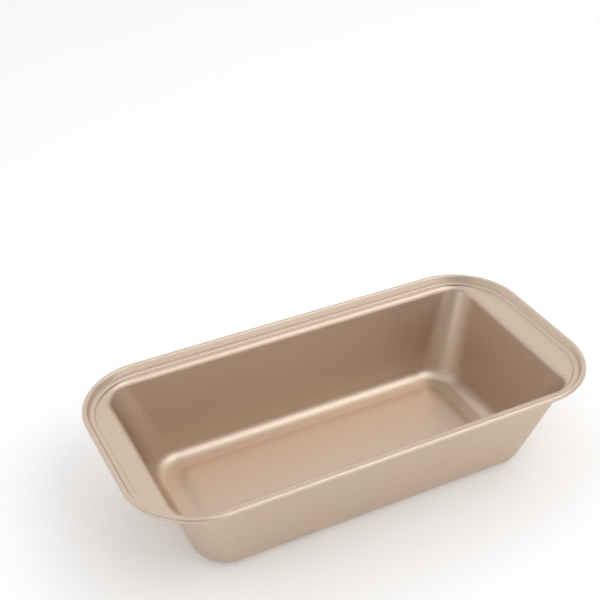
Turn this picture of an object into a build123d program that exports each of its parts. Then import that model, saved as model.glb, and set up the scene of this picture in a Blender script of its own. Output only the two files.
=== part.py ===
"""Loaf pan: one pressed steel sheet with a curled rim, and the wire that the rim is curled round.

Millimetres, +Z up, origin on the underside at the middle of the base. X runs along the loaf.
"""
from build123d import *
from math import asin, atan, atan2, cos, degrees, hypot, sin
import os

os.makedirs("parts", exist_ok=True)

# Driving dimensions
sheet = 0.6                     # thickness of the pressed steel
overall_length = 250.0          # over the curl
overall_width = 123.5
overall_height = 54.5           # base to the top of the curl
rim_corner_radius = 37.0        # plan radius of the curl's outside at the four corners

base_length = 184.6             # outer skin, where the walls would meet the base without a fillet
base_width = 86.0
base_corner_radius = 19.5
mouth_length = 216.6            # outer skin, where the walls would meet the top of the flange
mouth_width = 106.0
mouth_corner_radius = 13.0
base_fillet = 7.7               # inside radius between the walls and the base
mouth_fillet = 3.2              # top radius between the flange and the walls

panel_length = 152.6            # the middle of the base, pressed up a little so that the pan stands on
panel_width = 57.0              # the level border round it
panel_corner_radius = 5.0
panel_rise = 0.7
panel_slope = 4.5               # how far the panel's sloping edge reaches out

curl_radius = 1.35              # outside of the curl's section
flange_drop = 2.6               # curl centre down to the top of the flange
ledge_drop = 1.6                # curl centre down to the top of the small step in the rim
rim_span = 6.5                  # outer edge of the curl in to the start of the flange
lower_riser = (0.35, 0.8)       # foot and head of the inner riser, out from the start of the flange
upper_riser_foot = 3.0          # foot of the outer riser, out from the start of the flange
rim_bend = 0.4                  # middle radius of the small bends between risers, ledge and flange
curl_end_angle = -135.0         # where the free edge of the curl stops, from straight out

wire_diameter = 1.3
wire_gap = 1.0                  # between the butted ends of the wire, in the middle of a long side

# Worked out from those
curl_height = overall_height - curl_radius
flange_top = curl_height - flange_drop
flange_underside = flange_top - sheet
flange_middle = flange_top - sheet / 2
ledge_middle = curl_height - ledge_drop - sheet / 2
end_taper = atan((mouth_length - base_length) / 2 / flange_top)
side_taper = atan((mouth_width - base_width) / 2 / flange_top)
end_skin = sheet / cos(end_taper)
side_skin = sheet / cos(side_taper)


def tub_size(height):
    """Length, width and corner radius of the outer skin at a height, before the fillets."""
    share = height / flange_top
    return (
        base_length + (mouth_length - base_length) * share,
        base_width + (mouth_width - base_width) * share,
        base_corner_radius + (mouth_corner_radius - base_corner_radius) * share,
    )


def half_rim(inset, gap=0.0):
    """Corner points of the right half of the rim's plan line, this far in from the outer edge.

    It runs from the middle of the back side, short of it by half the gap, to the middle of the front.
    """
    half_length = overall_length / 2 - inset
    half_width = overall_width / 2 - inset
    return [
        (gap / 2, half_width),
        (half_length, half_width),
        (half_length, -half_width),
        (0, -half_width),
    ]


# The shape pressed up in the middle of the base: level on top, with a sloping edge
with BuildPart() as panel:
    for height, reach in ((0, panel_slope), (panel_rise, 0)):
        with BuildSketch(Plane.XY.offset(height)):
            RectangleRounded(
                panel_length + 2 * reach,
                panel_width + 2 * reach,
                panel_corner_radius + reach,
            )
    loft(ruled=True)

# The hollow of the tub: the outer walls brought in by the sheet's thickness, over the raised panel
with BuildPart() as hollow:
    for height in (sheet, flange_top):
        length, width, corner = tub_size(height)
        with BuildSketch(Plane.XY.offset(height)):
            RectangleRounded(length - 2 * end_skin, width - 2 * side_skin, corner - side_skin)
    loft(ruled=True)
    fillet(hollow.edges().group_by(Axis.Z)[0], base_fillet)
    add(panel.part.moved(Location((0, 0, sheet))), mode=Mode.SUBTRACT)

# Half of the rim: lower riser, ledge, upper riser and open curl, one section carried round the plan
curl_middle = curl_radius - sheet / 2
curl_centre = (rim_span - curl_radius, curl_height)
run = curl_centre[0] - upper_riser_foot
rise = curl_height - ledge_middle
riser_lean = atan2(rise, run) + asin(curl_middle / hypot(run, rise))
riser_head = (
    curl_centre[0] - curl_middle * sin(riser_lean),
    curl_centre[1] + curl_middle * cos(riser_lean),
)
curl_start_angle = degrees(riser_lean) + 90
rim_start = Plane(origin=(0, overall_width / 2 - rim_span, 0), x_dir=(0, 1, 0), z_dir=(1, 0, 0))
with BuildPart() as rim:
    with BuildLine() as rim_path:
        FilletPolyline(*half_rim(rim_span), radius=rim_corner_radius - rim_span)
    with BuildSketch(rim_start) as rim_section:
        with BuildLine():
            FilletPolyline(
                (0, flange_middle),
                (lower_riser[0], flange_middle),
                (lower_riser[1], ledge_middle),
                (upper_riser_foot, ledge_middle),
                riser_head,
                radius=rim_bend,
            )
            CenterArc(curl_centre, curl_middle, curl_start_angle, curl_end_angle - curl_start_angle)
        trace(line_width=sheet)
    sweep()
    mirror(about=Plane.YZ)

# The pressed sheet: tub, flange and rim in one
with BuildPart() as pan_body:
    for height in (0, flange_underside):
        with BuildSketch(Plane.XY.offset(height)):
            RectangleRounded(*tub_size(height))
    loft(ruled=True)
    fillet(pan_body.edges().group_by(Axis.Z)[0], base_fillet + sheet)
    with BuildSketch(Plane.XY.offset(flange_underside)):
        RectangleRounded(
            overall_length - 2 * rim_span,
            overall_width - 2 * rim_span,
            rim_corner_radius - rim_span,
        )
    extrude(amount=sheet)
    add(hollow.part, mode=Mode.SUBTRACT)
    flange_faces = pan_body.faces().filter_by(Plane.XY).group_by(Axis.Z)
    fillet(flange_faces[-1].face().inner_wires()[0].edges(), mouth_fillet)
    flange_faces = pan_body.faces().filter_by(Plane.XY).group_by(Axis.Z)
    fillet(flange_faces[-2].face().inner_wires()[0].edges(), mouth_fillet - sheet)
    add(rim.part)
    add(panel.part, mode=Mode.SUBTRACT)
pan_body.part.label = "pan_body"
export_step(pan_body.part, "parts/pan_body.step")

# The stiffening wire inside the curl: one loop, its ends butted in the middle of the back side
with BuildPart() as rim_wire:
    with BuildLine() as wire_path:
        FilletPolyline(*half_rim(curl_radius, wire_gap), radius=rim_corner_radius - curl_radius)
    wire_start = Plane(
        origin=(wire_gap / 2, overall_width / 2 - curl_radius, curl_height), z_dir=(1, 0, 0)
    )
    with BuildSketch(wire_start):
        Circle(wire_diameter / 2)
    sweep(path=wire_path.line.moved(Location((0, 0, curl_height))))
    mirror(about=Plane.YZ)
rim_wire.part.label = "rim_wire"
export_step(rim_wire.part, "parts/rim_wire.step")
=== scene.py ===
from math import atan2, asin, cos, hypot, pi, radians, sin, tan

import bmesh
import bpy
import numpy as np
from mathutils import Matrix, Vector


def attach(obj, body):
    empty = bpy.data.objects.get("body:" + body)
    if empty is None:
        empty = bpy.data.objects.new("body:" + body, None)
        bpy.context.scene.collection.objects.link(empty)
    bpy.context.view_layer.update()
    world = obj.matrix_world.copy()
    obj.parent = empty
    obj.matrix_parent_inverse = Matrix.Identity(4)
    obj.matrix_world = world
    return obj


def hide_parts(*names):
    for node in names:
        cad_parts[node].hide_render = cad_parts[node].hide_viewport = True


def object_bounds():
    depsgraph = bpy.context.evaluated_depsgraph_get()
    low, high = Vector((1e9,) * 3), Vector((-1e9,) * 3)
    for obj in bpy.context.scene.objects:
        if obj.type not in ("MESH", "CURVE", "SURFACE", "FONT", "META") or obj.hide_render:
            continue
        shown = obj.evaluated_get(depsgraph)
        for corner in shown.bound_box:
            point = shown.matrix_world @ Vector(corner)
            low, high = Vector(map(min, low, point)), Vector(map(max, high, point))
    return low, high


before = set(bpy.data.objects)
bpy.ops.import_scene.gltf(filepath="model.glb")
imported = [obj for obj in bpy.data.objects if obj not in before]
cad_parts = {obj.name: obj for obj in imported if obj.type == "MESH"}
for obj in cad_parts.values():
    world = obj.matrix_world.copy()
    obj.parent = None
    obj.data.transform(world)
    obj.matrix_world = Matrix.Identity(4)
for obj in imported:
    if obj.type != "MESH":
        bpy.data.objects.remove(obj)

cad_low, cad_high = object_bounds()

MM = 0.001

# Sizes of the pressed sheet, in metres. The overall ones come from the frame.
RIM_HALF_LENGTH = cad_high.x
RIM_HALF_WIDTH = cad_high.y
RIM_TOP = cad_high.z
SHEET = 0.6 * MM
RIM_CORNER = 37.0 * MM          # plan radius of the curl's outside

BASE_HALF_LENGTH = 92.3 * MM    # outer skin, where the walls would meet the base without a bend
BASE_HALF_WIDTH = 43.0 * MM
BASE_CORNER = 19.5 * MM
MOUTH_HALF_LENGTH = 108.3 * MM  # outer skin, where the walls would meet the top of the flange
MOUTH_HALF_WIDTH = 53.0 * MM
MOUTH_CORNER = 13.0 * MM
BASE_BEND = 7.7 * MM            # inside radius between walls and base
SIDE_MOUTH_BEND = 3.2 * MM      # top radius between flange and walls, along the sides
END_MOUTH_BEND = 6.0 * MM       # and at the two ends, where the sheet is drawn less sharply

PANEL_HALF_LENGTH = 76.3 * MM   # level top of the panel pressed up in the base
PANEL_HALF_WIDTH = 28.5 * MM
PANEL_CORNER = 5.0 * MM
PANEL_SLOPE = 4.5 * MM          # how far its sloping edge reaches out
PANEL_RISE = 0.7 * MM

CURL_RADIUS = 1.35 * MM
FLANGE_DROP = 2.6 * MM          # curl centre down to the top of the flange
LEDGE_DROP = 1.6 * MM           # curl centre down to the top of the step in the rim
RIM_SPAN = 6.5 * MM             # outer edge of the curl in to the start of the flange
LOWER_RISER = (0.35 * MM, 0.8 * MM) # foot and head of the inner riser, out from the flange's start
UPPER_RISER_FOOT = 3.0 * MM     # foot of the outer riser, out from the flange's start
RIM_BEND = 0.4 * MM             # middle radius of the small bends in the rim
CURL_END = -135.0               # degrees from straight out, where the curl's free edge stops

CURL_HEIGHT = RIM_TOP - CURL_RADIUS
FLANGE_TOP = CURL_HEIGHT - FLANGE_DROP


# ---------------------------------------------------------------- plan outlines

CORNER_STEPS = 28
LONG_STEPS = 48
END_STEPS = 24


def plan_parameters():
    """One turn round the pan: for each column, the corner it belongs to, the angle of its plan
    normal, and how far along a straight it lies, from the corner before it to the corner after."""
    signs = ((1, 1), (-1, 1), (-1, -1), (1, -1))
    columns = []
    for corner in range(4):
        start = corner * pi / 2
        for step in range(CORNER_STEPS):
            columns.append((corner, start + step / CORNER_STEPS * pi / 2, 0.0))
        straight = LONG_STEPS if corner % 2 == 0 else END_STEPS
        for step in range(straight):
            columns.append((corner, start + pi / 2, step / straight))
    corner, angle, along = (np.array(c) for c in zip(*columns))
    following = (corner + 1) % 4
    sign = np.array(signs, float)
    here, there = sign[corner], sign[following]
    return here, there, angle, along


HERE, THERE, PLAN_ANGLE, ALONG = plan_parameters()
NORMAL = np.stack([np.cos(PLAN_ANGLE), np.sin(PLAN_ANGLE)], 1)


def outline(half_length, half_width, corner):
    """A rounded rectangle: the centre of a corner, moved out by the corner's radius along the plan
    normal. On a straight the centre slides in a line from one corner's to the next."""
    centre = np.array([half_length - corner, half_width - corner])
    middle = HERE * centre * (1 - ALONG)[:, None] + THERE * centre * ALONG[:, None]
    return middle + NORMAL * corner


def tub_outline(height):
    """The outer skin's outline at a height. Half sizes and corner radius change evenly with height."""
    share = height / FLANGE_TOP
    return outline(
        BASE_HALF_LENGTH + (MOUTH_HALF_LENGTH - BASE_HALF_LENGTH) * share,
        BASE_HALF_WIDTH + (MOUTH_HALF_WIDTH - BASE_HALF_WIDTH) * share,
        BASE_CORNER + (MOUTH_CORNER - BASE_CORNER) * share,
    )


# How far each column's wall leans out per unit of height, along its plan normal
LEAN = ((tub_outline(FLANGE_TOP) - tub_outline(0.0)) * NORMAL).sum(1) / FLANGE_TOP
TAPER = np.arctan(LEAN)
TURN = pi / 2 - TAPER

# The mouth's bend goes from its side radius to its end radius with the plan normal's turn
MOUTH_BEND = SIDE_MOUTH_BEND + (END_MOUTH_BEND - SIDE_MOUTH_BEND) * NORMAL[:, 0] ** 2


def loop(plan, height):
    """A plan outline lifted to one height or to a height for each column."""
    return np.column_stack([plan, np.broadcast_to(height, len(plan))])


def skin_outline(height, inside):
    """The wall's outline at a height, on the outer skin or one sheet further in."""
    inset = SHEET / np.cos(TAPER) if inside else 0 * TAPER
    return tub_outline(height) - NORMAL * inset[:, None]


def wall_bend(height, inside, radius, shares, upward):
    """A bend between a level sheet and the walls, as an arc in the upright plane of each column's
    plan normal. The arc touches the level line at share 0 and the wall at share 1."""
    corner = skin_outline(height, inside)
    reach = radius * np.tan(TURN / 2)
    loops = []
    for share in shares:
        angle = TURN * share
        sideways = radius * np.sin(angle) - reach
        rise = radius * (1 - np.cos(angle))
        if not upward:
            sideways, rise = -sideways, -rise
        loops.append(loop(corner + NORMAL * sideways[:, None], height + rise))
    return loops


# ---------------------------------------------------------------- the rim's section

def arc_points(centre, radius, start, end, count):
    """Points and outward normals of an arc in the section, angles in radians."""
    angles = np.linspace(start, end, count)
    normals = np.stack([np.cos(angles), np.sin(angles)], 1)
    return np.array(centre) + radius * normals, normals


def rounded_line(points, radius, count):
    """A polyline with its corners rounded: each corner becomes an arc that touches both of its
    runs. Gives the points and the normals on the left of the direction of travel."""
    points = [np.array(p, float) for p in points]
    first = (points[1] - points[0]) / np.linalg.norm(points[1] - points[0])
    found = [points[0]]
    normals = [np.array([-first[1], first[0]])]
    for before, here, after in zip(points, points[1:], points[2:]):
        way_in = (here - before) / np.linalg.norm(here - before)
        way_out = (after - here) / np.linalg.norm(after - here)
        turn = atan2(way_in[0] * way_out[1] - way_in[1] * way_out[0], way_in @ way_out)
        left = np.array([-way_in[1], way_in[0]])
        side = 1.0 if turn > 0 else -1.0
        touch = here - way_in * radius * tan(abs(turn) / 2)
        centre = touch + left * radius * side
        from_centre = atan2(*(touch - centre)[::-1])
        for angle in np.linspace(from_centre, from_centre + turn, count):
            out = np.array([cos(angle), sin(angle)])
            found.append(centre + out * radius)
            normals.append(-out * side)
    return found, normals


def rim_section():
    """The middle of the sheet from the start of the flange to the free edge of the curl: two risers
    with a ledge between them, then an arc round the wire. The upper riser is tangent to the arc."""
    middle_radius = CURL_RADIUS - SHEET / 2
    centre = (RIM_SPAN - CURL_RADIUS, CURL_HEIGHT)
    flange = FLANGE_TOP - SHEET / 2
    ledge = CURL_HEIGHT - LEDGE_DROP - SHEET / 2
    run, rise = centre[0] - UPPER_RISER_FOOT, CURL_HEIGHT - ledge
    lean = atan2(rise, run) + asin(middle_radius / hypot(run, rise))
    head = (centre[0] - middle_radius * sin(lean), centre[1] + middle_radius * cos(lean))
    line = [
        (0, flange),
        (LOWER_RISER[0], flange),
        (LOWER_RISER[1], ledge),
        (UPPER_RISER_FOOT, ledge),
        head,
    ]
    points, normals = rounded_line(line, RIM_BEND, 6)
    curl, curl_normals = arc_points(centre, middle_radius, lean + pi / 2, radians(CURL_END), 34)
    return np.array(points + list(curl)), np.array(normals + list(curl_normals))


def rim_loops(side):
    """The rim's section carried round the plan, on the upper skin (side 1) or the lower one (-1)."""
    points, normals = rim_section()
    start = outline(RIM_HALF_LENGTH - RIM_SPAN, RIM_HALF_WIDTH - RIM_SPAN, RIM_CORNER - RIM_SPAN)
    skin = points + normals * side * SHEET / 2
    return [loop(start + NORMAL * out, height) for out, height in skin]


# ---------------------------------------------------------------- the pressed sheet

BEND_SHARES = np.linspace(0, 1, 15)


def between(first, last, count):
    """Loops spaced evenly between two loops, both left out."""
    return [first + (last - first) * step / (count + 1) for step in range(1, count + 1)]


def panel_edges(base_height):
    """The upper and the lower edge of the sloping band round the panel in the base. The lower
    outline is the upper one moved out by the slope's reach, and the panel's rise below it."""
    top = outline(PANEL_HALF_LENGTH, PANEL_HALF_WIDTH, PANEL_CORNER)
    return loop(top, base_height + PANEL_RISE), loop(top + NORMAL * PANEL_SLOPE, base_height)


def skin(side):
    """One face of the sheet from the middle of the base to the free edge of the curl. The inside
    face bends with the given radii, the outside face with radii one sheet larger or smaller."""
    inside = side > 0
    base_height = SHEET if inside else 0.0
    flange_height = FLANGE_TOP if inside else FLANGE_TOP - SHEET
    base_radius = BASE_BEND if inside else BASE_BEND + SHEET
    mouth_radius = MOUTH_BEND if inside else MOUTH_BEND - SHEET
    base_bend = wall_bend(base_height, inside, base_radius, BEND_SHARES, True)
    mouth_bend = wall_bend(flange_height, inside, mouth_radius, BEND_SHARES[::-1], False)
    top, foot = panel_edges(base_height)
    # The panel's columns start on a line along the middle of the base
    spine = top * [1 - PANEL_HALF_WIDTH / PANEL_HALF_LENGTH, 0, 1]
    base = [spine] + between(spine, top, 11) + [top] + between(top, foot, 4) + [foot]
    base += between(foot, base_bend[0], 2)
    walls = between(base_bend[-1], mouth_bend[0], 22)
    rim = rim_loops(side)
    flange = between(mouth_bend[-1], rim[0], 9)
    return base + base_bend + walls + mouth_bend + flange + rim


def pressed_sheet():
    """The whole sheet as one closed surface: the upper face out to the curl's free edge, then back
    along the lower face. The middle line of the base is where each face's columns meet."""
    loops = np.array(skin(1) + skin(-1)[::-1])
    rows, columns = loops.shape[:2]
    grid = np.arange(rows * columns).reshape(rows, columns)
    after = np.roll(grid, -1, axis=1)
    quads = np.stack([grid[:-1], after[:-1], after[1:], grid[1:]], -1).reshape(-1, 4)
    return loops.reshape(-1, 3), quads


def mesh_piece(name, points, quads, material):
    """A smooth-shaded object, unmoved and unturned. Doubled points are merged first."""
    mesh = bpy.data.meshes.new(name)
    mesh.from_pydata(points.tolist(), [], quads.tolist())
    b = bmesh.new()
    b.from_mesh(mesh)
    bmesh.ops.remove_doubles(b, verts=b.verts, dist=1e-7)
    bmesh.ops.dissolve_degenerate(b, edges=b.edges, dist=1e-8)
    bmesh.ops.recalc_face_normals(b, faces=b.faces)
    b.to_mesh(mesh)
    b.free()
    mesh.polygons.foreach_set("use_smooth", np.ones(len(mesh.polygons), bool))
    mesh.materials.append(material)
    piece = bpy.data.objects.new(name, mesh)
    bpy.context.scene.collection.objects.link(piece)
    return piece


# ---------------------------------------------------------------- materials

class Socket:
    """Wraps a node's output so that maths on it adds Math nodes."""

    def __init__(self, tree, output):
        self.tree, self.output = tree, output

    def maths(self, operation, *values):
        return self.tree.node("ShaderNodeMath", {"operation": operation}, values)

    def __add__(self, other):
        return self.maths("ADD", self, other)

    def __radd__(self, other):
        return self.maths("ADD", other, self)

    def __sub__(self, other):
        return self.maths("SUBTRACT", self, other)

    def __rsub__(self, other):
        return self.maths("SUBTRACT", other, self)

    def __mul__(self, other):
        return self.maths("MULTIPLY", self, other)

    def __rmul__(self, other):
        return self.maths("MULTIPLY", other, self)

    def step(self, low, high):
        """0 below the low value, 1 above the high one, and a smooth rise in between."""
        settings = {"interpolation_type": "SMOOTHSTEP"}
        return self.tree.node("ShaderNodeMapRange", settings, (self, low, high, 0.0, 1.0))


class NodeTree:
    """A node tree under construction, for a material or for the world. One method makes every node."""

    def __init__(self, owner):
        self.owner = owner
        owner.use_nodes = True
        self.nodes = owner.node_tree.nodes
        self.links = owner.node_tree.links
        self.nodes.clear()

    def node(self, kind, settings=(), inputs=(), output=0):
        """Makes a node, applies its settings, then fills its sockets with values or links."""
        made = self.nodes.new(kind)
        for key, value in dict(settings).items():
            setattr(made, key, value)
        pairs = inputs.items() if isinstance(inputs, dict) else enumerate(inputs)
        for key, value in pairs:
            if isinstance(value, Socket):
                self.links.new(value.output, made.inputs[key])
            else:
                made.inputs[key].default_value = value
        return Socket(self, made.outputs[output]) if made.outputs else made

    def noise(self, where, scale, detail=2.0):
        """Noise between about 0.2 and 0.8, with this many features per metre."""
        inputs = {"Vector": where, "Scale": scale, "Detail": detail}
        return self.node("ShaderNodeTexNoise", {}, inputs)

    def blend(self, share, first, second):
        """The first colour where the share is 0, the second where it is 1."""
        inputs = {0: share, 6: first, 7: second}
        return self.node("ShaderNodeMix", {"data_type": "RGBA"}, inputs, 2)

    def bump(self, height, depth):
        """A normal bent by a height of this many metres."""
        return self.node("ShaderNodeBump", {}, {"Height": height, "Distance": depth})

    def shade(self, **inputs):
        named = {key.replace("_", " "): value for key, value in inputs.items()}
        shader = self.node("ShaderNodeBsdfPrincipled", {}, named)
        self.node("ShaderNodeOutputMaterial", {}, {"Surface": shader})
        return self.owner


def champagne_coating():
    """Satin metallic coating: fine fleck, slight orange peel, and rubbed lines on the rim's crest
    and on the border that the pan stands on."""
    t = NodeTree(bpy.data.materials.new("champagne_nonstick_coating"))
    where = t.node("ShaderNodeTexCoord", {}, {}, "Object")
    height = t.node("ShaderNodeSeparateXYZ", {}, (where,), 2)
    fleck = t.noise(where, 1500.0, 3.0)
    peel = t.noise(where, 620.0)
    cloud = t.noise(where, 22.0, 3.0)
    patch = t.noise(where, 140.0, 4.0)
    crest = height.step(RIM_TOP - 0.35 * MM, RIM_TOP)
    contact = 1.0 - height.step(0.0, 0.12 * MM)
    wear = (crest + contact) * patch.step(0.47, 0.62)
    tone = t.blend(fleck.step(0.3, 0.7), (0.600, 0.490, 0.395, 1), (0.680, 0.556, 0.448, 1))
    tinted = t.blend(cloud.step(0.35, 0.65) * 0.35, tone, (0.655, 0.525, 0.420, 1))
    colour = t.blend(wear * 0.3, tinted, (0.66, 0.61, 0.55, 1))
    roughness = 0.365 + fleck * 0.08 + cloud * 0.05 - wear * 0.08
    relief = fleck * 0.35 + peel
    return t.shade(
        Base_Color=colour,
        Metallic=1.0,
        Roughness=roughness,
        Normal=t.bump(relief, 0.012 * MM),
    )


def drawn_wire():
    """Drawn steel: fine lines and dull patches left by the die."""
    t = NodeTree(bpy.data.materials.new("drawn_steel_wire"))
    where = t.node("ShaderNodeTexCoord", {}, {}, "Object")
    grain = t.noise(where, 2600.0, 3.0)
    dull = t.noise(where, 180.0, 3.0).step(0.4, 0.7)
    colour = t.blend(dull, (0.50, 0.50, 0.51, 1), (0.36, 0.35, 0.34, 1))
    return t.shade(
        Base_Color=colour,
        Metallic=1.0,
        Roughness=0.24 + dull * 0.16 + grain * 0.08,
        Normal=t.bump(grain, 0.01 * MM),
    )


points, quads = pressed_sheet()
pan = mesh_piece("pressed_pan", points, quads, champagne_coating())
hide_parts("pan_body")
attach(pan, "root")

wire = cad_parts["rim_wire"]
wire.data.materials.clear()
wire.data.materials.append(drawn_wire())


# ---------------------------------------------------------------- floor, light and camera

def studio_floor():
    """A pale plane a hair below the pan, so that the two don't lie in one plane."""
    half, down = 3.0, -0.05 * MM
    corners = [(-half, -half, down), (half, -half, down), (half, half, down), (-half, half, down)]
    mesh = bpy.data.meshes.new("studio_floor")
    mesh.from_pydata(corners, [], [(0, 1, 2, 3)])
    t = NodeTree(bpy.data.materials.new("studio_white"))
    mesh.materials.append(t.shade(
        Base_Color=(0.9, 0.9, 0.9, 1),
        Roughness=0.9,
        Emission_Color=(1, 1, 1, 1),
        Emission_Strength=0.13,
    ))
    made = bpy.data.objects.new("studio_floor", mesh)
    bpy.context.scene.collection.objects.link(made)


def studio_world():
    """Soft surroundings, which brighten evenly from a dim front, over the top, to a bright back."""
    world = bpy.data.worlds.new("studio")
    bpy.context.scene.world = world
    t = NodeTree(world)
    way = t.node("ShaderNodeTexCoord", {}, {}, "Generated")
    behind = t.node("ShaderNodeSeparateXYZ", {}, (way,), 1).step(-0.75, 0.45)
    grey = t.blend(behind, (0.42, 0.42, 0.42, 1), (1.0, 1.0, 1.0, 1))
    background = t.node("ShaderNodeBackground", {}, {"Color": grey, "Strength": 1.0})
    t.node("ShaderNodeOutputWorld", {}, {"Surface": background})


def softbox(name, direction, distance, size, power):
    """A rectangular light in this direction from the pan, facing it."""
    light = bpy.data.lights.new(name, "AREA")
    light.shape = "RECTANGLE"
    light.size, light.size_y = size
    light.energy = power
    made = bpy.data.objects.new(name, light)
    bpy.context.scene.collection.objects.link(made)
    made.location = Vector(direction).normalized() * distance
    made.rotation_mode = "QUATERNION"
    made.rotation_quaternion = Vector(direction).to_track_quat("Z", "Y")


studio_floor()
studio_world()
softbox("key_softbox", (0.37, -0.42, 0.83), 1.6, (1.5, 0.9), 8)
softbox("front_fill", (0.37, -0.89, 0.28), 1.6, (1.2, 0.4), 2.6)
softbox("left_softbox", (-0.87, -0.49, 0.25), 1.6, (0.5, 0.5), 1.4)

VIEW_AZIMUTH = radians(-26.71)
VIEW_ELEVATION = radians(33.82)
VIEW_ROLL = radians(-0.34)
VIEW_DISTANCE = 0.588           # from the middle of the rim
LENS_PER_SENSOR = 1.94263
PAN_RIGHT = 0.034249            # the rim's middle lies this far right of the camera's axis
PAN_BELOW = 0.070394            # and this far below it, per unit of depth


def add_camera():
    back = Vector((
        sin(VIEW_AZIMUTH) * cos(VIEW_ELEVATION),
        -cos(VIEW_AZIMUTH) * cos(VIEW_ELEVATION),
        sin(VIEW_ELEVATION),
    ))
    level = Vector((cos(VIEW_AZIMUTH), sin(VIEW_AZIMUTH), 0))
    upright = back.cross(level)
    right = level * cos(VIEW_ROLL) + upright * sin(VIEW_ROLL)
    up = upright * cos(VIEW_ROLL) - level * sin(VIEW_ROLL)
    towards = (right * PAN_RIGHT - up * PAN_BELOW - back).normalized()
    camera = bpy.data.objects.new("camera", bpy.data.cameras.new("camera"))
    camera.data.sensor_width = 36
    camera.data.lens = 36 * LENS_PER_SENSOR
    camera.data.clip_start, camera.data.clip_end = 0.01, 20
    place = Vector((0, 0, CURL_HEIGHT)) - towards * VIEW_DISTANCE
    turned = Matrix((right, up, back)).transposed().to_4x4()
    camera.matrix_world = Matrix.Translation(place) @ turned
    bpy.context.scene.collection.objects.link(camera)
    bpy.context.scene.camera = camera


add_camera()
bpy.context.scene.view_settings.view_transform = "Standard"
